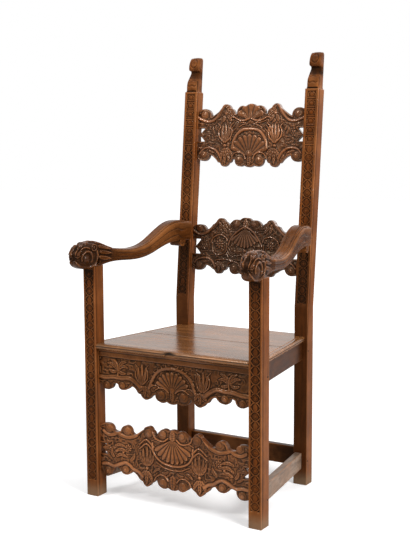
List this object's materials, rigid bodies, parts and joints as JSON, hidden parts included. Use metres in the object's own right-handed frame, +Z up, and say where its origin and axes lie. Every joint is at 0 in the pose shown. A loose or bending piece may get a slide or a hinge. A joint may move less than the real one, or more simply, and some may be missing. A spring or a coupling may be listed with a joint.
{
  "type": "joined armchair",
  "caption": "Carved joined armchair with an open back of pierced splats, a plank seat, arms ending in animal heads, a carved apron and front stretcher.",
  "frame": {"origin": "on the floor, under the middle of the chair's bounding box", "axes": "+Z up, the chair faces -Y and +X is to the viewer's right as seen from in front"},
  "size_m": [0.61, 0.5846, 1.3052],
  "materials": {
    "post_wood": "waxed dark reddish-brown hardwood with worn orange-brown edges",
    "carved_wood": "waxed dark brown carved hardwood with near-black recesses",
    "arm_wood": "polished reddish-brown hardwood, worn lighter on top",
    "seat_wood": "waxed greyish-brown planks",
    "rail_wood": "dull greyish-brown hardwood",
    "peg_wood": "end grain, dark brown"
  },
  "bodies": {
    "root": {"apron_pegs": "peg_wood", "arm_left": "arm_wood", "arm_pegs": "peg_wood", "arm_right": "arm_wood", "crest_board": "carved_wood", "crest_pegs": "peg_wood", "front_apron": "carved_wood", "front_moulding": "seat_wood", "front_post_left": "post_wood", "front_post_right": "post_wood", "front_stretcher": "carved_wood", "front_stretcher_pegs": "peg_wood", "glue_blocks": "rail_wood", "lower_splat": "carved_wood", "lower_splat_pegs": "peg_wood", "rear_rail_pegs": "peg_wood", "rear_seat_rail": "rail_wood", "rear_stile_left": "post_wood", "rear_stile_right": "post_wood", "rear_stretcher": "rail_wood", "rear_stretcher_pegs": "peg_wood", "seat_board_front": "seat_wood", "seat_board_rear": "seat_wood", "side_moulding_left": "seat_wood", "side_moulding_right": "seat_wood", "side_rail_pegs": "peg_wood", "side_seat_rail_left": "rail_wood", "side_seat_rail_right": "rail_wood", "side_stretcher_left": "rail_wood", "side_stretcher_pegs": "peg_wood", "side_stretcher_right": "rail_wood"}
  },
  "joints": []
}
